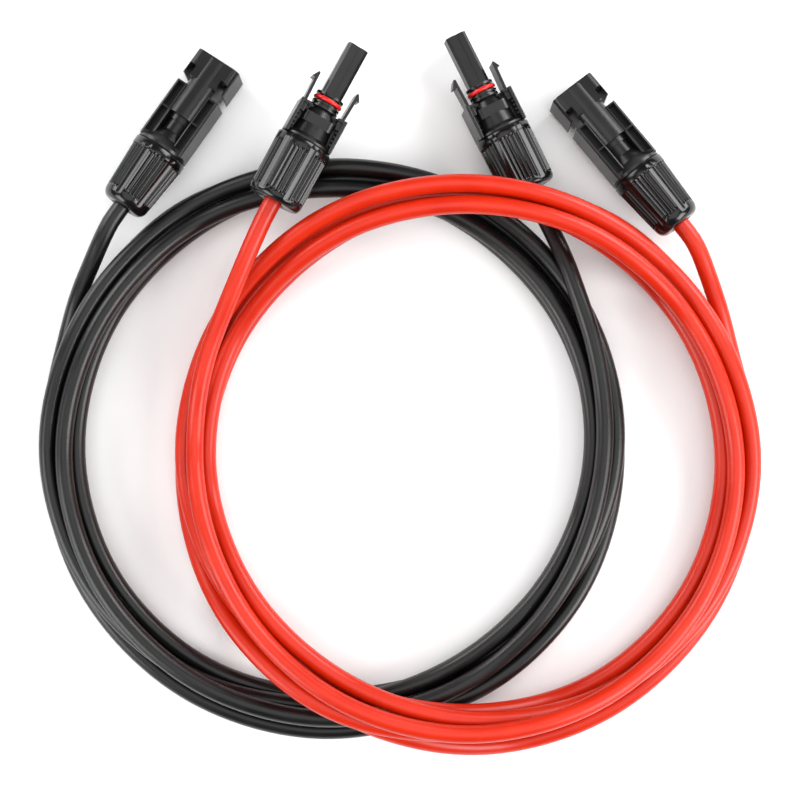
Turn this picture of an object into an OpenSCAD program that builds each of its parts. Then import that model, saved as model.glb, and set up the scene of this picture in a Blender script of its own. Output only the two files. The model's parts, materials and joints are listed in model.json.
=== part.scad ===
// Pair of single-core solar extension leads, one black and one red, each coiled flat.
// Every lead has one male and one female gland-nut connector. Units mm, +Z up, floor at z = 0.
// The origin is the bottom centre of the box around the four connectors.

/* [Cable] */
// Outer diameter of the cable sheath
cable_d = 6.0; // [5.4:0.1:6.4]
// Diameter of the bundled copper strands
strand_d = 2.5; // [2.2:0.1:2.7]

/* [Coils] */
// Inner radius of each coil
coil_in = 83; // [81:0.5:85]
// Outer radius of each coil
coil_out = 100.5; // [98:0.5:101]
// Height of a coil lying on the floor
coil_h = 16; // [14:0.5:16.4]
// Rounding of a coil's section
coil_round = 4.5; // [3:0.5:6]

/* [Gland nuts] */
// Largest diameter of a gland nut
nut_d = 19.2; // [18.6:0.1:19.4]
// Diameter near the rear of a male connector's nut
nut_rear_m = 16.4; // [16:0.1:17.6]
// Diameter near the rear of a female connector's nut
nut_rear_f = 18.7; // [18:0.1:18.8]
// Length of the nut on a male connector
nut_len_m = 23.2; // [22:0.1:23.3]
// Length of the nut on a female connector
nut_len_f = 22.0; // [21:0.1:22.1]
// Length of the rounding at the rear of a male connector's nut
nut_dome_m = 3.6; // [3:0.1:4]
// Length of the rounding at the rear of a female connector's nut
nut_dome_f = 2.2; // [2:0.1:3]
// Diameter of the cable hole in a nut
nut_hole_d = 7.4; // [7.2:0.1:7.8]
// Diameter of a nut's threaded bore
nut_bore_d = 15.5; // [15.4:0.1:16]

/* [Male housing] */
// Length of a male connector, from the nut's rear face to the front face
male_len = 59.2; // [59:0.1:60]
// Width of the front block
block_w = 16.6; // [16:0.1:17.2]
// Height of the front block
block_h = 14; // [13:0.1:15]
// Length of the front block
block_l = 9.6; // [9.2:0.1:10]
// Width of the rounded barrel that runs through the block
barrel_w = 10.6; // [10.4:0.1:11]
// Width of a side rail
rail_w = 4.3; // [4:0.1:4.6]
// Height of a side rail
rail_h = 11.6; // [11:0.1:12]
// Thickness of the web between the rails
web_t = 3.2; // [2.8:0.1:3.6]
// Width of a pocket in a rail
pocket_w = 2.6; // [2.2:0.1:2.8]
// Diameter of the mouth that takes the O-ring
mouth_d = 10.4; // [10.2:0.1:10.8]
// Depth of that mouth
mouth_l = 5.8; // [5.4:0.1:6]
// Diameter of the cavity that takes the probe
cavity_d = 9.2; // [9.0:0.1:9.3]

/* [Female housing] */
// Length of a female connector, from the nut's rear face to the probe's tip
female_len = 58.2; // [58:0.1:59]
// Width across the flats of the probe
probe_w = 7.2; // [7:0.05:7.3]
// Width across the chamfered corners of the probe
probe_corner = 8.7; // [8.4:0.1:9]
// Width of the yoke behind the latches
yoke_w = 17.1; // [16.8:0.1:17.4]
// Height of the yoke's side walls
yoke_h = 13; // [12.4:0.1:13.6]
// Thickness of the yoke's side walls
yoke_t = 1.2; // [1:0.1:1.6]

/* [Contacts] */
// Diameter of the male pin
pin_d = 4.0; // [3.9:0.01:4.02]
// Bore of the female socket
socket_d = 4.1; // [4.08:0.01:4.2]
// Outer diameter of both crimp barrels
crimp_d = 5.0; // [4.8:0.1:5.2]

/* [Latches] */
// Thickness of a latch finger
latch_t = 1.0; // [0.8:0.05:1.1]
// Height of a latch finger
latch_h = 7.0; // [6:0.1:7]
// Distance of a latch finger from the connector's axis
latch_x = 7.0; // [6.95:0.05:7.05]
// Diameter of the knuckle at a finger's root
knuckle_d = 1.8; // [1.7:0.05:1.8]

/* [Hidden] */
cr = cable_d / 2;
nut_r = nut_d / 2;
stub_r = nut_bore_d / 2 - 0.35;
// gap between a nut and the shoulder in front of it
gap = 0.3;
// depth to which the cable's sheath and then its bare strands reach
sheath_end_y = 24;
strand_end_y = 30.8;
// where the latch fingers begin
latch_y = 32;
// outlines of turned shapes: distance from the nut's rear face, radius
cable_bore = [[8, 5.0], [16.5, 5.0], [16.5, cr + 0.2], [24.3, cr + 0.2]];
male_outline = [[9.5, stub_r], [nut_len_m + gap, stub_r], [nut_len_m + gap, 9.2], [24.5, 9.2],
    [27.2, 6.6], [30.4, 4.6], [34.3, 4.5], [34.3, 5.0], [36.4, 5.0]];
male_bore = concat(cable_bore, [[24.3, 2.8], [34.8, 2.8], [34.8, cavity_d / 2],
    [male_len - mouth_l, cavity_d / 2], [male_len - mouth_l, mouth_d / 2],
    [male_len + 1, mouth_d / 2]]);
female_outline = [[9.5, stub_r], [nut_len_f + gap, stub_r], [nut_len_f + gap, 8.9], [23, 8.9],
    [23, 8.4], [24.4, 6.6], [28.1, 6.2]];
neck_outline = [[31.5, 5.5], [34.5, 3.9], [34.5, 4.9], [35.1, 4.9], [35.1, 4.3], [35.8, 4.3],
    [35.8, 4.9], [36.4, 4.9], [36.4, 3.65], [38.8, 3.65], [38.8, 4.9], [39.6, 4.9]];
female_bore = concat(cable_bore, [[24.3, 2.9], [female_len - 0.9, 2.9], [female_len - 0.9, 2.5],
    [female_len + 1, 2.5]]);
pin_outline = [[24.6, crimp_d / 2], [31.6, crimp_d / 2], [31.6, 2.7], [33.2, 2.7],
    [33.2, pin_d / 2], [51.2, pin_d / 2], [52.4, 1.1]];
socket_outline = [[24.6, crimp_d / 2], [33, crimp_d / 2], [33, 2.75], [57.3, 2.75]];
// a latch finger's outline, away from the connector's axis and along it
latch_outline = [[-latch_t / 2, 0], [latch_t / 2, 0], [0.4 + latch_t / 2, 10.2], [1.9, 10.3],
    [0.5, 12.7], [0.4 - latch_t / 2, 12.3]];
// x, y, z of the rear face centre, then heading, pitch and roll in degrees
at_bm = [-94.5, -25.3, 13.8, -34.2, -6, -6];
at_bf = [44.3, -19.1, 9.6, 26.5, 0, 5];
at_rm = [94.9, -31.2, 13.8, 38.8, -6, 6];
at_rf = [-42.2, -25.3, 27.5, -28.6, -2, 12];
red_c = [23.5, -113.5];
black_c = [-23.9, -108.0];
// routes of the four uncoiled stretches, from the nut to the coil or from the coil to the nut
bm_route = [[-94.5, -25.3, 13.8], [-98.0, -30.2, 14.1], [-101.4, -36.3, 13.0],
    [-105.1, -43.8, 10.0], [-108.7, -51.6, 6.9], [-112.0, -60.3, 4.3], [-115.7, -72.8, 3.0],
    [-119.0, -88.8, 3.0], [-120.4, -108.0, 3.2]];
rm_route = [[94.9, -31.2, 13.8], [98.6, -35.9, 14.1], [101.8, -41.2, 13.0], [104.9, -48.6, 10.0],
    [107.7, -56.4, 6.9], [110.6, -64.8, 4.3], [114.6, -77.8, 3.0], [118.4, -94.8, 3.0],
    [120.0, -113.5, 3.2]];
bf_route = [[69.3, -102.8, 12.0], [67.8, -83.3, 13.6], [64.8, -69.3, 14.8], [60.4, -56.8, 15.6],
    [56.8, -46.3, 15.2], [52.8, -36.3, 13.0], [47.1, -24.7, 9.9], [44.3, -19.1, 9.6]];
rf_route = [[-69.7, -108.8, 12.5], [-68.4, -90.8, 14.2], [-64.7, -75.2, 18.6],
    [-60.0, -63.8, 22.2], [-55.0, -52.8, 25.3], [-49.9, -41.2, 27.4], [-44.9, -30.3, 27.7],
    [-42.2, -25.3, 27.5]];
// red coil: angle clockwise from +Y, underside, top
red_h = [[0, 19.8, 34.4], [26, 19.8, 34.4], [34, 16.5, 32], [48, 4.5, 21], [56, 0, 16.5],
    [64, 0, 16], [148, 0, 16], [156, 3.5, 20], [168, 12.5, 28.5], [177, 16.7, 32.4],
    [226, 16.7, 32.4], [236, 12.5, 28.5], [248, 3.5, 20], [256, 0, 16.5], [264, 0, 16],
    [292, 0, 16], [299, 1.5, 17.5], [312, 11, 26.5], [322, 18, 33], [328, 19.8, 34.4],
    [360, 19.8, 34.4]];

// placing and simple shapes along the connector's axis
module put(p) {
    translate([p[0], p[1], p[2]])
        rotate([0, 0, p[3]])
            rotate([p[4], 0, 0])
                rotate([0, p[5], 0])
                    children();
}
module rod(r1, r2, y0, y1) {
    translate([0, y0, 0])
        rotate([-90, 0, 0])
            cylinder(r1 = r1, r2 = r2, h = y1 - y0, $fn = 64);
}
module rounded(w, h, r) {
    square([w - 2 * r, h], center = true);
    square([w, h - 2 * r], center = true);
    for (sx = [-1, 1])
        for (sy = [-1, 1])
            translate([sx * (w / 2 - r), sy * (h / 2 - r)])
                circle(r = r, $fn = 32);
}
module bar(w, h, r, y0, y1) {
    translate([0, y1, 0])
        rotate([90, 0, 0])
            linear_extrude(height = y1 - y0)
                rounded(w, h, r);
}
module slab(x0, x1, y0, y1, z) {
    translate([x0, y0, -z])
        cube([x1 - x0, y1 - y0, 2 * z]);
}
module turned(outline) {
    rotate([-90, 0, 0])
        rotate_extrude($fn = 64)
            polygon(concat([[0, outline[0][0]]], [for (q = outline) [q[1], q[0]]],
                [[0, outline[len(outline) - 1][0]]]));
}
module ring(ri, ro, y0, y1) {
    difference() {
        rod(ro, ro, y0, y1);
        rod(ri, ri, y0 - 1, y1 + 1);
    }
}

// cable
function cr4(a, b, c, d, t) = 0.5 * ((2 * b) + (c - a) * t + (2 * a - 5 * b + 4 * c - d) * t * t
    + (3 * b - a - 3 * c + d) * t * t * t);
function pick(p, i) = i < 0 ? 2 * p[0] - p[1] : i >= len(p) ? 2 * p[len(p) - 1] - p[len(p) - 2] : p[i];
function smooth(p, n) = [for (i = [0 : len(p) - 2]) for (j = [0 : n - 1])
    cr4(pick(p, i - 1), pick(p, i), pick(p, i + 1), pick(p, i + 2), j / n), p[len(p) - 1]];
function unit(v) = v / norm(v);
function way(c, i) = unit(c[min(i + 1, len(c) - 1)] - c[max(i - 1, 0)]);
module tube(route, d) {
    pts = smooth(route, 2);
    n = 12;
    m = len(pts);
    rings = [for (i = [0 : m - 1])
        let (t = way(pts, i), s = unit(cross(t, [0, 0, 1])), u = cross(s, t))
            for (k = [0 : n - 1])
                pts[i] + d / 2 * (cos(360 * k / n) * s + sin(360 * k / n) * u)];
    sides = [for (i = [0 : m - 2]) for (k = [0 : n - 1])
        [i * n + k, i * n + (k + 1) % n, (i + 1) * n + (k + 1) % n, (i + 1) * n + k]];
    first = [[for (k = [0 : n - 1]) n - 1 - k]];
    last = [[for (k = [0 : n - 1]) (m - 1) * n + k]];
    polyhedron(points = rings, faces = concat(sides, first, last), convexity = 6);
}
module flat_coil() {
    translate([black_c[0], black_c[1], 0])
        rotate_extrude($fn = 96)
            translate([(coil_in + coil_out) / 2, coil_h / 2])
                rounded(coil_out - coil_in, coil_h, coil_round);
}
function red_at(a, k) = lookup(a, [for (h = red_h) [h[0], h[k]]]);
module raised_coil() {
    n = 72;
    q = coil_round * 0.5;
    rings = [for (i = [0 : n - 1])
        let (a = 360 * i / n, b = red_at(a, 1), t = red_at(a, 2),
            sec = [[coil_in + q, b], [coil_out - q, b], [coil_out, b + q],
                [coil_out, t - 2 * q], [coil_out - 2 * q, t], [coil_in + 2 * q, t],
                [coil_in, t - 2 * q], [coil_in, b + q]])
            for (s = sec)
                [red_c[0] + s[0] * sin(a), red_c[1] + s[0] * cos(a), s[1]]];
    sides = [for (i = [0 : n - 1]) for (k = [0 : 7])
        [i * 8 + k, ((i + 1) % n) * 8 + k, ((i + 1) % n) * 8 + (k + 1) % 8, i * 8 + (k + 1) % 8]];
    polyhedron(points = rings, faces = sides, convexity = 8);
}

// pieces every connector has
module nut_rib(r0, r1, l) {
    rib_h = 1.42;
    translate([0, 4, 0])
        rotate([atan((r1 - r0) / (l - 6.4)), 0, 0])
            translate([-0.25, 0, r0 - 1.2])
                cube([0.5, l - 7.2, rib_h]);
}
module gland_nut(p, l, rear_d, dome, turn) {
    rear = rear_d / 2;
    band = 2.8;
    waist = nut_r - 0.3;
    put(p)
        rotate([0, turn, 0])
            difference() {
                union() {
                    turned([[0, rear - 0.8 * dome], [0.36 * dome, rear - 0.28 * dome], [dome, rear],
                        [l - band, waist], [l - band, nut_r], [l, nut_r]]);
                    for (g = [0 : 5])
                        for (k = [-1.5 : 1.5])
                            rotate([0, 60 * g + 30 + 9 * k, 0])
                                nut_rib(rear, waist, l);
                }
                turned([[-1, nut_hole_d / 2], [3, nut_hole_d / 2], [3, 6.4], [9.2, 6.4],
                    [9.2, nut_bore_d / 2], [l + 1, nut_bore_d / 2]]);
            }
}
module collet(p) {
    put(p)
        difference() {
            turned([[3.3, 5.0], [5.0, 6.1], [9.2, 6.1]]);
            rod(cr + 0.35, cr + 0.35, 3, 10);
            for (a = [0 : 30 : 150])
                rotate([0, a, 0])
                    slab(-0.35, 0.35, 3, 7.4, 7);
        }
}
module cable_seal(p) {
    put(p)
        ring(cr + 0.03, 4.95, 9.9, 16.4);
}
module sheath_end(p) {
    put(p)
        rod(cr, cr, 0, sheath_end_y);
}
module conductor_end(p) {
    put(p)
        rod(strand_d / 2, strand_d / 2, sheath_end_y, strand_end_y);
}
module crimp_bore() {
    rod(strand_d / 2 + 0.05, strand_d / 2 + 0.05, sheath_end_y, strand_end_y + 0.2);
}

// male connector
module rail_pockets(x) {
    floor_z = 2.2;
    for (z = [-1, 1])
        for (y = [[26, 35.9], [36.6, 46]])
            translate([x, 0, z * (floor_z + rail_h / 4)])
                slab(-pocket_w / 2, pocket_w / 2, y[0], y[1], rail_h / 4);
}
module male_housing(p) {
    rail_y = male_len - 12.5;
    put(p)
        difference() {
            union() {
                turned(male_outline);
                bar(barrel_w, block_h + 0.6, 4.6, 36.2, male_len - 0.6);
                bar(block_w, block_h, 2.4, male_len - block_l, male_len);
                slab(-block_w / 2, block_w / 2, 24.5, rail_y, web_t / 2);
                for (s = [-1, 1])
                    translate([s * (block_w - rail_w) / 2, 0, 0])
                        bar(rail_w, rail_h, 0.9, 24.2, rail_y);
            }
            turned(male_bore);
            for (s = [-1, 1]) {
                translate([s * 6.3, 0, 0])
                    slab(-0.95, 0.95, male_len - 7, male_len + 1, 3.8);
                translate([s * 6.35, 0, 0])
                    slab(-1.35, 1.35, male_len - 12.6, male_len - 5.6, 9);
                rail_pockets(s * (block_w / 2 - 2.2));
            }
        }
}
module male_pin(p) {
    put(p)
        difference() {
            turned(pin_outline);
            crimp_bore();
        }
}

// female connector
module yoke_side() {
    wall_x = yoke_w / 2 - yoke_t / 2;
    front_y = latch_y + 2.1;
    translate([wall_x, 0, 0])
        bar(yoke_t, yoke_h, 0.4, nut_len_f + gap, front_y);
    translate([latch_x - 0.15, 0, 0])
        slab(-1.6, 1.6, latch_y + 1.2, front_y, yoke_h / 2 - 0.4);
    translate([yoke_w / 2 - 1.4, 0, 0])
        bar(2.8, 10, 0.4, latch_y - 1.6, front_y);
    for (y = [24.6 : 1.5 : 29.1])
        translate([yoke_w / 2 - yoke_t, y, 0])
            slab(-0.6, 0.4, 0, 0.7, 5.2);
}
module latch_pocket() {
    depth = latch_h / 2 + 0.3;
    translate([latch_x, latch_y, -depth])
        cylinder(d = knuckle_d + 0.12, h = 2 * depth, $fn = 48);
    translate([latch_x - 0.1, 0, 0])
        slab(-0.95, 0.95, latch_y + 0.3, latch_y + 3, depth);
}
module female_housing(p) {
    put(p)
        difference() {
            union() {
                turned(female_outline);
                bar(11.6, 11.6, 2.4, 28, 31.5);
                turned(neck_outline);
                intersection() {
                    bar(probe_w, probe_w, 0.2, 39.4, female_len);
                    rotate([0, 45, 0])
                        bar(probe_corner, probe_corner, 0.2, 39, female_len + 1);
                }
                slab(-yoke_w / 2, yoke_w / 2, nut_len_f + gap, 33.4, 1.6);
                slab(-yoke_w / 2, yoke_w / 2, 33.3, 34.1, 2.4);
                yoke_side();
                mirror([1, 0, 0])
                    yoke_side();
            }
            turned(female_bore);
            latch_pocket();
            mirror([1, 0, 0])
                latch_pocket();
            for (z = [-1, 1])
                translate([0, 0, z * probe_w / 2])
                    slab(-0.5, 0.5, 40.6, female_len + 1, 0.22);
        }
}
module latch(p, s) {
    put(p)
        translate([s * latch_x, latch_y, -latch_h / 2]) {
            cylinder(d = knuckle_d, h = latch_h, $fn = 48);
            linear_extrude(height = latch_h)
                polygon([for (q = latch_outline) [s * q[0], q[1]]]);
        }
}
module socket_contact(p) {
    put(p)
        difference() {
            turned(socket_outline);
            crimp_bore();
            rod(socket_d / 2, socket_d / 2, 35, 58);
            rod(2.45, 2.45, 42, 48);
        }
}
module contact_band(p) {
    put(p)
        ring(socket_d / 2, 2.43, 42.1, 47.9);
}
module oring(p) {
    put(p)
        translate([0, 37.6, 0])
            rotate([-90, 0, 0])
                rotate_extrude($fn = 64)
                    translate([4.42, 0])
                        circle(r = 0.72, $fn = 24);
}

module black_cable_male_end() { color([0.05, 0.05, 0.055]) tube(bm_route, cable_d); }
module black_coil() { color([0.05, 0.05, 0.055]) flat_coil(); }
module black_cable_female_end() { color([0.05, 0.05, 0.055]) tube(bf_route, cable_d); }
module black_male_housing() { color([0.06, 0.06, 0.065]) male_housing(at_bm); }
module black_male_pin() { color([0.75, 0.74, 0.7]) male_pin(at_bm); }
module black_male_seal() { color([0.12, 0.12, 0.12]) cable_seal(at_bm); }
module black_male_collet() { color([0.1, 0.1, 0.1]) collet(at_bm); }
module black_male_nut() {
    color([0.06, 0.06, 0.065])
        gland_nut(at_bm, nut_len_m, nut_rear_m, nut_dome_m, -10);
}
module black_male_sheath() { color([0.05, 0.05, 0.055]) sheath_end(at_bm); }
module black_male_conductor() { color([0.8, 0.75, 0.6]) conductor_end(at_bm); }
module black_female_housing() { color([0.06, 0.06, 0.065]) female_housing(at_bf); }
module black_female_latch_left() { color([0.07, 0.07, 0.075]) latch(at_bf, -1); }
module black_female_latch_right() { color([0.07, 0.07, 0.075]) latch(at_bf, 1); }
module black_female_socket() { color([0.75, 0.74, 0.7]) socket_contact(at_bf); }
module black_female_band() { color([0.8, 0.7, 0.45]) contact_band(at_bf); }
module black_female_oring() { color([0.8, 0.08, 0.06]) oring(at_bf); }
module black_female_seal() { color([0.12, 0.12, 0.12]) cable_seal(at_bf); }
module black_female_collet() { color([0.1, 0.1, 0.1]) collet(at_bf); }
module black_female_nut() {
    color([0.06, 0.06, 0.065])
        gland_nut(at_bf, nut_len_f, nut_rear_f, nut_dome_f, 25);
}
module black_female_sheath() { color([0.05, 0.05, 0.055]) sheath_end(at_bf); }
module black_female_conductor() { color([0.8, 0.75, 0.6]) conductor_end(at_bf); }
module red_cable_male_end() { color([0.85, 0.08, 0.05]) tube(rm_route, cable_d); }
module red_coil() { color([0.85, 0.08, 0.05]) raised_coil(); }
module red_cable_female_end() { color([0.85, 0.08, 0.05]) tube(rf_route, cable_d); }
module red_male_housing() { color([0.06, 0.06, 0.065]) male_housing(at_rm); }
module red_male_pin() { color([0.75, 0.74, 0.7]) male_pin(at_rm); }
module red_male_seal() { color([0.12, 0.12, 0.12]) cable_seal(at_rm); }
module red_male_collet() { color([0.1, 0.1, 0.1]) collet(at_rm); }
module red_male_nut() {
    color([0.06, 0.06, 0.065])
        gland_nut(at_rm, nut_len_m, nut_rear_m, nut_dome_m, 11);
}
module red_male_sheath() { color([0.85, 0.08, 0.05]) sheath_end(at_rm); }
module red_male_conductor() { color([0.8, 0.75, 0.6]) conductor_end(at_rm); }
module red_female_housing() { color([0.06, 0.06, 0.065]) female_housing(at_rf); }
module red_female_latch_left() { color([0.07, 0.07, 0.075]) latch(at_rf, -1); }
module red_female_latch_right() { color([0.07, 0.07, 0.075]) latch(at_rf, 1); }
module red_female_socket() { color([0.75, 0.74, 0.7]) socket_contact(at_rf); }
module red_female_band() { color([0.8, 0.7, 0.45]) contact_band(at_rf); }
module red_female_oring() { color([0.8, 0.08, 0.06]) oring(at_rf); }
module red_female_seal() { color([0.12, 0.12, 0.12]) cable_seal(at_rf); }
module red_female_collet() { color([0.1, 0.1, 0.1]) collet(at_rf); }
module red_female_nut() {
    color([0.06, 0.06, 0.065])
        gland_nut(at_rf, nut_len_f, nut_rear_f, nut_dome_f, 18);
}
module red_female_sheath() { color([0.85, 0.08, 0.05]) sheath_end(at_rf); }
module red_female_conductor() { color([0.8, 0.75, 0.6]) conductor_end(at_rf); }

black_cable_male_end();
black_coil();
black_cable_female_end();
black_male_housing();
black_male_pin();
black_male_seal();
black_male_collet();
black_male_nut();
black_male_sheath();
black_male_conductor();
black_female_housing();
black_female_latch_left();
black_female_latch_right();
black_female_socket();
black_female_band();
black_female_oring();
black_female_seal();
black_female_collet();
black_female_nut();
black_female_sheath();
black_female_conductor();
red_cable_male_end();
red_coil();
red_cable_female_end();
red_male_housing();
red_male_pin();
red_male_seal();
red_male_collet();
red_male_nut();
red_male_sheath();
red_male_conductor();
red_female_housing();
red_female_latch_left();
red_female_latch_right();
red_female_socket();
red_female_band();
red_female_oring();
red_female_seal();
red_female_collet();
red_female_nut();
red_female_sheath();
red_female_conductor();
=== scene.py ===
import json
import math
import bpy
import bmesh
import numpy as np
from mathutils import Matrix, Vector


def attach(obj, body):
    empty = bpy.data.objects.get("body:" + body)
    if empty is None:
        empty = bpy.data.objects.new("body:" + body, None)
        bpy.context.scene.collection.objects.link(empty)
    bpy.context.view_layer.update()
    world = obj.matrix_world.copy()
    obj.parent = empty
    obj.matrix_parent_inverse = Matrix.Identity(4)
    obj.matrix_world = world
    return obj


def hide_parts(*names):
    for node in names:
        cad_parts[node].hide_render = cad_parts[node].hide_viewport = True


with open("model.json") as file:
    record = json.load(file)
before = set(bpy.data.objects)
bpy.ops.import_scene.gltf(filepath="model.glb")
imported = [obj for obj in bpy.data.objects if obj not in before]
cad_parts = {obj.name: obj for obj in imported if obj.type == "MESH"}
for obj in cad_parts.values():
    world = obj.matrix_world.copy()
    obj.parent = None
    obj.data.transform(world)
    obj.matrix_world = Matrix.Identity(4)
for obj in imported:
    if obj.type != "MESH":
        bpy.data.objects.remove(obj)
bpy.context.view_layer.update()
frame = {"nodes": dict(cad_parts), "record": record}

# Two solar extension leads on a pale floor, seen from straight above. Metres, row frame.
MM = 0.001

# ---------------------------------------------------------------- camera
# the point of the floor at the picture's centre, the camera's height, and the width of floor that it sees
VIEW_X, VIEW_Y = -0.0002, -0.0908
CAMERA_H = 0.560
VIEW_W = 0.2778


def make_camera():
    cam = bpy.data.objects.new("camera", bpy.data.cameras.new("camera"))
    bpy.context.scene.collection.objects.link(cam)
    cam.location = (VIEW_X, VIEW_Y, CAMERA_H)
    cam.data.angle = 2 * math.atan(VIEW_W / 2 / CAMERA_H)
    cam.data.clip_start = 0.01
    bpy.context.scene.camera = cam


make_camera()

# ---------------------------------------------------------------- layout
# Metres in the row's frame, as in part.scad. A connector's place is the middle of its nut's rear face.
CABLE_D = 0.006
CABLE_R = CABLE_D / 2
# a nut's greatest radius, then length, rear radius and rounding of a male and of a female connector's nut
NUT_R = 0.0096
NUT_MALE = (0.0232, 0.0082, 0.0036)
NUT_FEMALE = (0.0220, 0.00935, 0.0022)
# radius of a coil's middle line, and the centres of the two coils
RING_R = 0.0918
RED_C = (0.0235, -0.1135)
BLACK_C = (-0.0239, -0.1080)
# x, y, z, then heading, pitch and roll in degrees
PLACE = {
    "black_male": (-0.0945, -0.0253, 0.0138, -34.2, -6, -6),
    "black_female": (0.0443, -0.0191, 0.0096, 26.5, 0, 5),
    "red_male": (0.0949, -0.0312, 0.0138, 38.8, -6, 6),
    "red_female": (-0.0422, -0.0253, 0.0275, -28.6, -2, 12),
}
# the uncoiled stretches: nut to coil at a male end, coil to nut at a female end
BLACK_IN = [(-0.0945, -0.0253, 0.0138), (-0.0980, -0.0302, 0.0141), (-0.1014, -0.0363, 0.0130),
            (-0.1051, -0.0438, 0.0100), (-0.1087, -0.0516, 0.0069), (-0.1120, -0.0603, 0.0043)]
RED_IN = [(0.0949, -0.0312, 0.0138), (0.0986, -0.0359, 0.0141), (0.1018, -0.0412, 0.0130),
          (0.1049, -0.0486, 0.0100), (0.1077, -0.0564, 0.0069), (0.1106, -0.0648, 0.0043)]
BLACK_OUT = [(0.0678, -0.0833, 0.0136), (0.0648, -0.0693, 0.0148), (0.0604, -0.0568, 0.0156),
             (0.0568, -0.0463, 0.0152), (0.0528, -0.0363, 0.0130), (0.0471, -0.0247, 0.0099),
             (0.0443, -0.0191, 0.0096)]
RED_OUT = [(-0.0684, -0.0908, 0.0142), (-0.0647, -0.0752, 0.0186), (-0.0600, -0.0638, 0.0222),
           (-0.0550, -0.0528, 0.0253), (-0.0499, -0.0412, 0.0274), (-0.0449, -0.0303, 0.0277),
           (-0.0422, -0.0253, 0.0275)]
# How far each turn lies outside the coil's middle line, in mm, every 30 degrees. A row is a turn, lowest first.
LAY = [[None, None, None, 5.2, 4.7, 4.7, 4.7, 3.5, 1.3, -0.4, -0.9, -0.9],
       [1.6, 5.4, 3.7, 0.6, -0.6, -0.9, -0.1, 4.9, 6.6, 6.3, 5.2, 4.7],
       [1.3, -2.4, -3.6, -4.2, -4.9, -5.9, -6.9, -4.5, 1.5, 6.3, 7.7, 7.5],
       [5.6, 4.9, 5.1, 5.8, 3.3, -0.6, -4.5, -6.3, -4.7, -1.8, 0.2, -0.4],
       [-1.8, -1.1, -0.7, 0.2, 0.5, 0.5, 0.6, 0.7, 0.9, 1.6, None, None]]

# ---------------------------------------------------------------- cables
STEP = 0.003              # spacing of a cable's points
TURN_STEP = 30            # degrees between the entries of LAY
TOUCH = CABLE_D + 0.00015  # distance between the middles of two turns that touch
SAG_R = 0.060             # tightest curve that a cable takes over what it lies on
SOFTEN = 0.007            # length over which its height evens out
PLAN_SOFTEN = 0.006       # length over which its plan evens out
HELD = 0.018              # stretch at a nut over which that sets in
BLEND = 0.03              # stretch over which a route's height gives way to the coil's
DRAW_IN = 0.07            # stretch over which the coil's turns begin to follow the eye
SAME_TURN = 0.06          # points of one cable nearer than this along it don't rest on each other
NUT_REACH = 0.025         # how far along the black female nut the red cable may lie on it
NUT_GAP = 0.0002          # what it keeps clear of that nut
EYE = np.array((VIEW_X, VIEW_Y))


def arc(p):
    """How far along a line each of its points is."""
    return np.concatenate([[0], np.cumsum(np.linalg.norm(np.diff(p, axis=0), axis=1))])


def even(p, step):
    """The same line with its points step apart."""
    s = arc(p[:, :2])
    t = np.linspace(0, s[-1], int(round(s[-1] / step)) + 1)
    return np.column_stack([np.interp(t, s, p[:, k]) for k in range(p.shape[1])])


def curve_through(p, step):
    """A smooth line through unevenly spaced points."""
    p = np.array(p, float)
    h = np.linalg.norm(np.diff(p[:, :2], axis=0), axis=1)
    slope = np.diff(p, axis=0) / h[:, None]
    inner = (slope[:-1] * h[1:, None] + slope[1:] * h[:-1, None]) / (h[1:] + h[:-1])[:, None]
    m = np.vstack([slope[:1], inner, slope[-1:]])
    out = []
    for i in range(len(h)):
        for t in np.arange(0, 1, 0.02):
            out.append((2 * t ** 3 - 3 * t ** 2 + 1) * p[i] + (t ** 3 - 2 * t ** 2 + t) * h[i] * m[i]
                       + (3 * t ** 2 - 2 * t ** 3) * p[i + 1] + (t ** 3 - t ** 2) * h[i] * m[i + 1])
    out.append(p[-1])
    return even(np.array(out), step)


def blur(v, s, width):
    """Values at the places s along a line, evened out over a width."""
    w = np.exp(-0.5 * ((s[:, None] - s[None]) / width) ** 2)
    return (w / w.sum(axis=1, keepdims=True)) @ v


def ramp(v):
    """A smooth step from 0 to 1."""
    v = np.clip(v, 0, 1)
    return v * v * (3 - 2 * v)


def plan(centre, side, lead_in, lead_out):
    """A cable's points as seen from above, from its male end to its female end."""
    turns = []
    for k, offset in enumerate([v for row in LAY for v in row]):
        if offset is not None:
            a = math.radians(TURN_STEP * k)
            r = RING_R + offset * MM
            turns.append((centre[0] + side * r * math.sin(a), centre[1] + r * math.cos(a), 0.0))
    p = curve_through(list(lead_in) + turns + list(lead_out), STEP)[:, :2]
    s = arc(p)
    hold = np.clip(np.minimum(s, s[-1] - s) / HELD, 0, 1)[:, None]
    return p * (1 - hold) + blur(p, s, PLAN_SOFTEN) * hold


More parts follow.
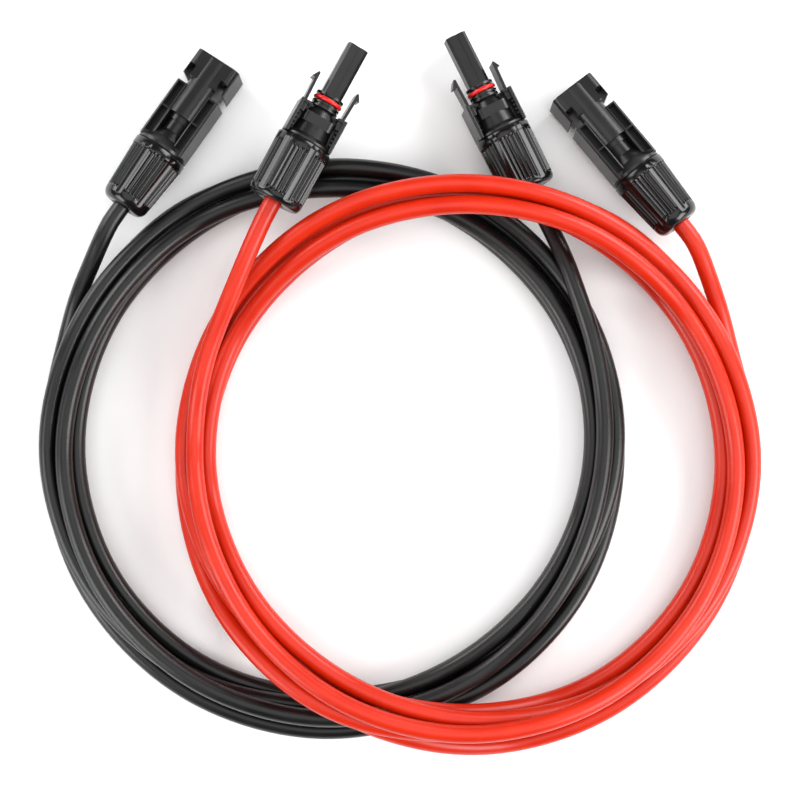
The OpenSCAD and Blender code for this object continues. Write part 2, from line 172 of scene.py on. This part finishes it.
class Cable:
    """One cable: its plan, and the heights that its route gives at both ends."""

    def __init__(self, centre, side, lead_in, lead_out):
        self.flat = plan(centre, side, lead_in, lead_out)
        self.now = self.flat.copy()
        self.s = arc(self.flat)
        self.before = self.s
        self.after = self.s[-1] - self.s
        self.len_in = arc(np.array(lead_in)[:, :2])[-1]
        self.len_out = arc(np.array(lead_out)[:, :2])[-1]
        first = curve_through(lead_in, MM)
        last = curve_through(lead_out, MM)
        self.z_in = np.interp(self.before, arc(first[:, :2]), first[:, 2])
        self.z_out = np.interp(self.after, arc(last[::-1, :2]), last[::-1, 2])
        # 1 where the route alone gives the height, falling to 0 in the coil
        self.own_in = ramp((self.len_in - self.before) / BLEND + 1e-9)
        self.own_out = ramp((self.len_out - self.after) / BLEND + 1e-9)

    def base(self):
        """The least height of each point: on the floor, or at the route's height."""
        z = np.full(len(self.flat), CABLE_R)
        z = np.where(self.before < self.len_in, np.maximum(z, self.z_in), z)
        return np.where(self.after < self.len_out, np.maximum(z, self.z_out), z)

    def settle(self, z):
        """Over an uncoiled stretch the cable keeps the route's height."""
        z = z * (1 - self.own_in) + self.z_in * self.own_in
        return z * (1 - self.own_out) + self.z_out * self.own_out

    def draw_in(self, z):
        """A strand that lies higher goes towards the middle, where the eye above sees it in place."""
        w = ramp(np.minimum(self.before - self.len_in, self.after - self.len_out) / DRAW_IN)[:, None]
        near = 1 - (z[:, None] - CABLE_D) / (CAMERA_H - CABLE_D) * w
        self.now = EYE + (self.flat - EYE) * near


def stack(cables, base):
    """Lays the cables turn on turn: each point rests on what was laid before it."""
    xy = np.vstack([c.now for c in cables])
    n = len(xy)
    s = np.concatenate([arc(c.now) + 10 * k for k, c in enumerate(cables)])
    d = np.linalg.norm(xy[:, None] - xy[None], axis=2)
    far = np.abs(s[:, None] - s[None]) > SAME_TURN
    under = (np.arange(n)[None] < np.arange(n)[:, None]) & far & (d < TOUCH)
    lift = np.where(under, np.sqrt(np.maximum(0, TOUCH ** 2 - d ** 2)), 0)
    z = base.copy()
    for _ in range(14):
        need = np.maximum(np.where(under, z[None] + lift, 0).max(axis=1), base)
        new = []
        at = 0
        for c in cables:
            part = slice(at, at + len(c.now))
            gap = s[part, None] - s[None, part]
            rest = (need[None, part] - gap ** 2 / (2 * SAG_R)).max(axis=1)
            new.append(c.settle(blur(rest, s[part], SOFTEN)))
            at += len(c.now)
        new = np.concatenate(new)
        if np.abs(new - z).max() < 0.02 * MM:
            break
        z = new
    return new


def over_nut(p, base):
    """The red cable also lies over the rear end of the black lead's female connector."""
    x, y, z, heading = PLACE["black_female"][:4]
    a = math.radians(heading)
    v = p - np.array((x, y))
    t = v @ np.array((-math.sin(a), math.cos(a)))
    u = np.abs(v @ np.array((math.cos(a), math.sin(a))))
    r = NUT_R + CABLE_R + NUT_GAP
    off = np.hypot(u, np.where(t < 0, -t, 0))
    over = (off < r) & (t < NUT_REACH)
    return np.where(over, np.maximum(base, z + np.sqrt(np.maximum(0, r ** 2 - off ** 2))), base)


def lay_cables():
    """The points of both cables. Lifting a turn moves it in, so plan and heights are found in turns."""
    black = Cable(BLACK_C, -1, BLACK_IN, BLACK_OUT)
    red = Cable(RED_C, 1, RED_IN, RED_OUT)
    n = len(black.flat)
    for _ in range(3):
        z = stack((black, red), np.concatenate([black.base(), over_nut(red.now, red.base())]))
        black.draw_in(z[:n])
        red.draw_in(z[n:])
    return np.column_stack([black.now, z[:n]]), np.column_stack([red.now, z[n:]])


# ---------------------------------------------------------------- materials
def nodes_of(name):
    """A fresh material, its node tree and its shader."""
    mat = bpy.data.materials.new(name)
    mat.use_nodes = True
    tree = mat.node_tree
    return mat, tree, tree.nodes["Principled BSDF"]


def add(tree, kind, **inputs):
    node = tree.nodes.new(kind)
    for key, value in inputs.items():
        node.inputs[key].default_value = value
    return node


def noise(tree, scale, detail):
    """Noise over the object's own coordinates, metres."""
    where = add(tree, "ShaderNodeTexCoord")
    tex = add(tree, "ShaderNodeTexNoise", Scale=scale, Detail=detail, Roughness=0.55)
    tree.links.new(where.outputs["Object"], tex.inputs["Vector"])
    return tex


def two_tone(tree, tex, dark, light):
    """A colour that wanders between two tones with the noise."""
    band = add(tree, "ShaderNodeValToRGB")
    for stop, position, colour in zip(band.color_ramp.elements, (0.35, 0.65), (dark, light)):
        stop.position = position
        stop.color = (*colour, 1)
    tree.links.new(tex.outputs["Fac"], band.inputs["Fac"])
    return band.outputs["Color"]


def span(tree, tex, low, high):
    """A value that goes from low to high with the noise."""
    reach = add(tree, "ShaderNodeMapRange",
                **{"From Min": 0.3, "From Max": 0.7, "To Min": low, "To Max": high})
    tree.links.new(tex.outputs["Fac"], reach.inputs["Value"])
    return reach.outputs["Result"]


def bump(tree, shader, tex, height, strength):
    b = add(tree, "ShaderNodeBump", Distance=height, Strength=strength)
    tree.links.new(tex.outputs["Fac"], b.inputs["Height"])
    tree.links.new(b.outputs["Normal"], shader.inputs["Normal"])


def plastic(name, dark, light, rough_low, rough_high, grain=2500, depth=0.02 * MM, specular=0.5):
    """Two close tones, and a fine grain as deep as depth."""
    mat, tree, shader = nodes_of(name)
    broad = noise(tree, 60, 3.0)
    fine = noise(tree, grain, 2.0)
    tree.links.new(two_tone(tree, broad, dark, light), shader.inputs["Base Color"])
    tree.links.new(span(tree, broad, rough_low, rough_high), shader.inputs["Roughness"])
    shader.inputs["Specular IOR Level"].default_value = specular
    bump(tree, shader, fine, depth, 0.6)
    return mat


def metal(name, dark, light, rough_low, rough_high):
    """Bare metal with a fine turned grain."""
    mat, tree, shader = nodes_of(name)
    turned = noise(tree, 900, 2.0)
    tree.links.new(two_tone(tree, turned, dark, light), shader.inputs["Base Color"])
    tree.links.new(span(tree, turned, rough_low, rough_high), shader.inputs["Roughness"])
    shader.inputs["Metallic"].default_value = 1.0
    bump(tree, shader, turned, 0.01 * MM, 0.5)
    return mat


MAT = {
    "black_cable": plastic("black_cable", (0.002, 0.002, 0.0022), (0.004, 0.004, 0.0043), 0.30, 0.40,
                           grain=1800, depth=0.03 * MM),
    "red_cable": plastic("red_cable", (0.52, 0.014, 0.001), (0.57, 0.018, 0.001), 0.30, 0.40,
                         grain=1800, depth=0.03 * MM, specular=0.4),
    "housing": plastic("housing", (0.005, 0.005, 0.0053), (0.009, 0.009, 0.0095), 0.26, 0.36,
                       grain=3000, depth=0.01 * MM),
    "nut": plastic("nut", (0.002, 0.002, 0.0021), (0.003, 0.003, 0.0032), 0.18, 0.24,
                   grain=3000, depth=0.01 * MM),
    "oring": plastic("oring", (0.60, 0.012, 0.010), (0.72, 0.020, 0.014), 0.25, 0.35),
    "seal": plastic("seal", (0.05, 0.05, 0.052), (0.07, 0.07, 0.072), 0.6, 0.7),
    "collet": plastic("collet", (0.03, 0.03, 0.032), (0.045, 0.045, 0.047), 0.4, 0.5),
    "tin": metal("tin", (0.62, 0.61, 0.58), (0.75, 0.74, 0.71), 0.22, 0.34),
    "band": metal("band", (0.70, 0.55, 0.30), (0.82, 0.68, 0.42), 0.2, 0.3),
    "strands": metal("strands", (0.66, 0.58, 0.48), (0.80, 0.72, 0.62), 0.3, 0.45),
}
SLOT_OF = {part["node"]: part["material_slot"] for part in frame["record"]["subparts"]}
for name, obj in frame["nodes"].items():
    mats = obj.data.materials
    mats.clear()
    mats.append(MAT[SLOT_OF[name]])


def show(obj, body, material, slot_name, *stands_for):
    """Puts a piece on its body in place of the CAD nodes that it stands for."""
    obj.data.materials.append(MAT[material])
    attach(obj, body)
    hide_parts(*stands_for)


def cable_piece(colour, points):
    curve = bpy.data.curves.new(colour + "_cable", "CURVE")
    curve.dimensions = "3D"
    spline = curve.splines.new("POLY")
    spline.points.add(len(points) - 1)
    for target, p in zip(spline.points, points):
        target.co = (*p, 1)
    curve.bevel_depth = CABLE_R
    curve.bevel_resolution = 8
    curve.use_fill_caps = True
    obj = bpy.data.objects.new(colour + "_cable", curve)
    bpy.context.scene.collection.objects.link(obj)
    show(obj, colour + "_lead", colour + "_cable", colour + "_cable",
         colour + "_cable_male_end", colour + "_coil", colour + "_cable_female_end")


black_points, red_points = lay_cables()
cable_piece("black", black_points)
cable_piece("red", red_points)

# ---------------------------------------------------------------- gland nuts
RIB_PITCH = 9.0           # degrees between ribs
GROOVE = 0.0007           # depth of a groove
BAND = 0.0028             # smooth band round the front
FACETS = 6                # smooth faces, with a group of ribs between two of them
DISH = 0.00022            # how much lower the middle of a smooth face is
SHARP = 50                # degrees between two faces from which their edge is sharp
# bore of the threaded part, of the seat behind it and of the cable's hole, and the rim's radius at that hole
THREAD_R, SEAT_R, HOLE_R, RIM_R = 0.00775, 0.0064, 0.0037, 0.0042
# degrees from a rib's crest and how far down the groove's side the surface is there
CREST = [(0, 0), (0.6, 0.05), (1.2, 0.22), (4.4, 1)]
# how far each nut happens to be turned
NUT_TURN = {"black_male": -10, "black_female": 25, "red_male": 11, "red_female": 18}


def placed(name):
    """Takes a connector's own frame, nose along +Y, to its place."""
    x, y, z, heading, pitch, roll = PLACE[name]
    return (Matrix.Translation((x, y, z)) @ Matrix.Rotation(math.radians(heading), 4, "Z")
            @ Matrix.Rotation(math.radians(pitch), 4, "X") @ Matrix.Rotation(math.radians(roll), 4, "Y"))


def rib_angles():
    """Angles round the nut with, at each, how deep the groove is and how flat the face is."""
    out = []
    for g in range(FACETS):
        middle = 360 / FACETS * (g + 0.5)
        for k in (-1.5, -0.5, 0.5, 1.5):
            for off, depth in CREST:
                out.append((middle + RIB_PITCH * k + off, depth, 0.0))
                if off:
                    out.append((middle + RIB_PITCH * k - off, depth, 0.0))
        for side in (-1, 1):
            edge = middle + side * RIB_PITCH * 2.5
            for off, depth in CREST:
                out.append((edge - side * off, depth, 0.0))
        for k in (-0.9, -0.5, 0, 0.5, 0.9):
            out.append((middle + 180 / FACETS + k * 7, 0, 1 - k * k))
    return sorted(out)


def nut_outline(length, rear, dome):
    """Half a nut's section, front bore to rear hole to front edge: y, radius, how deep grooves are cut."""
    end = [(0, RIM_R, 0)] + [(dome * (1 - math.cos(a)), rear - 0.8 * dome * (1 - math.sin(a)), 0)
                             for a in (math.radians(d) for d in range(0, 91, 10))]
    first, last = dome + 0.0006, length - BAND
    cone = [(t, rear + (NUT_R - 0.00005 - rear) * (t - dome) / (length - dome))
            for t in (first, first + 0.0006, first + 0.0009, last - 0.0009, last - 0.0006, last)]
    cuts = (0, 1, 1, 1, 1, 0)
    inside = [(length, THREAD_R, 0), (0.0092, THREAD_R, 0), (0.0092, SEAT_R, 0), (0.0031, SEAT_R, 0),
              (0.0031, HOLE_R, 0), (0.0004, HOLE_R, 0)]
    front = [(length - BAND + 0.0002, NUT_R, 0), (length - 0.0003, NUT_R, 0), (length, NUT_R - 0.0003, 0)]
    return inside + end + [(y, r, cut) for (y, r), cut in zip(cone, cuts)] + front


def gland_nut(name, length, rear, dome):
    """One nut: the outline carried round its axis, with the grooves and the smooth faces in it."""
    outline = nut_outline(length, rear, dome)
    angles = rib_angles()
    mesh = bpy.data.meshes.new(name + "_nut_shape")
    bm = bmesh.new()
    rings = []
    for y, r, cut in outline:
        ring = []
        for angle, depth, flat in angles:
            a = math.radians(angle)
            outer = r > rear - 0.0001
            radius = r - (GROOVE * depth * cut + DISH * flat if outer else 0)
            ring.append(bm.verts.new((radius * math.sin(a), y, radius * math.cos(a))))
        rings.append(ring)
    n = len(angles)
    for i in range(len(rings)):
        here, there = rings[i], rings[(i + 1) % len(rings)]
        for k in range(n):
            bm.faces.new((here[k], here[(k + 1) % n], there[(k + 1) % n], there[k]))
    bmesh.ops.recalc_face_normals(bm, faces=bm.faces)
    for face in bm.faces:
        face.smooth = True
    bm.transform(placed(name) @ Matrix.Rotation(math.radians(NUT_TURN[name]), 4, "Y"))
    bm.to_mesh(mesh)
    bm.free()
    mesh.set_sharp_from_angle(angle=math.radians(SHARP))
    obj = bpy.data.objects.new(name + "_nut_shape", mesh)
    bpy.context.scene.collection.objects.link(obj)
    show(obj, name + "_nut", "nut", "housing", name + "_nut")


for colour in ("black", "red"):
    gland_nut(colour + "_male", *NUT_MALE)
    gland_nut(colour + "_female", *NUT_FEMALE)

# ---------------------------------------------------------------- rounded edges on the housings
EDGE = 0.0002             # width of a rounded edge

for name, obj in frame["nodes"].items():
    if name.endswith("_housing"):
        bevel = obj.modifiers.new("edge", "BEVEL")
        bevel.limit_method = "ANGLE"
        bevel.angle_limit = math.radians(40)
        bevel.width = EDGE
        bevel.segments = 2

# ---------------------------------------------------------------- floor and light
FLOOR_HALF = 3.0          # half the floor's width
AIM = (0.0, -0.09, 0.0)   # what every light points at


def soft_light(name, x, y, z, size, watts, mirrored=True):
    """A square light. One that isn't mirrored lights the leads and doesn't show in their gloss."""
    data = bpy.data.lights.new(name, "AREA")
    data.size = size
    data.energy = watts
    obj = bpy.data.objects.new(name, data)
    bpy.context.scene.collection.objects.link(obj)
    obj.location = (x, y, z)
    obj.visible_glossy = mirrored
    obj.rotation_euler = (Vector(AIM) - obj.location).to_track_quat("-Z", "Y").to_euler()


def studio():
    mesh = bpy.data.meshes.new("floor")
    h = FLOOR_HALF
    mesh.from_pydata([(-h, -h, 0), (h, -h, 0), (h, h, 0), (-h, h, 0)], [], [(0, 1, 2, 3)])
    floor = bpy.data.objects.new("floor", mesh)
    bpy.context.scene.collection.objects.link(floor)
    mat, tree, shader = nodes_of("floor")
    shader.inputs["Base Color"].default_value = (0.92, 0.92, 0.92, 1)
    shader.inputs["Roughness"].default_value = 0.7
    mesh.materials.append(mat)
    world = bpy.data.worlds.new("world")
    world.use_nodes = True
    sky = world.node_tree.nodes["Background"]
    sky.inputs["Color"].default_value = (1, 1, 1, 1)
    sky.inputs["Strength"].default_value = 0.14
    bpy.context.scene.world = world
    soft_light("overhead", 0.0, -0.09, 0.95, 0.90, 3.2)
    soft_light("fill", 0.0, -0.09, 1.00, 1.20, 3.6, mirrored=False)
    soft_light("right_front", 0.62, -0.38, 0.45, 0.48, 5.6)
    soft_light("right_back", 0.60, 0.38, 0.42, 0.48, 5.6)
    soft_light("left_front", -0.60, -0.40, 0.36, 0.44, 3.4)
    soft_light("left_back", -0.62, 0.36, 0.36, 0.44, 3.4)
    bpy.context.scene.view_settings.view_transform = "Standard"


studio()
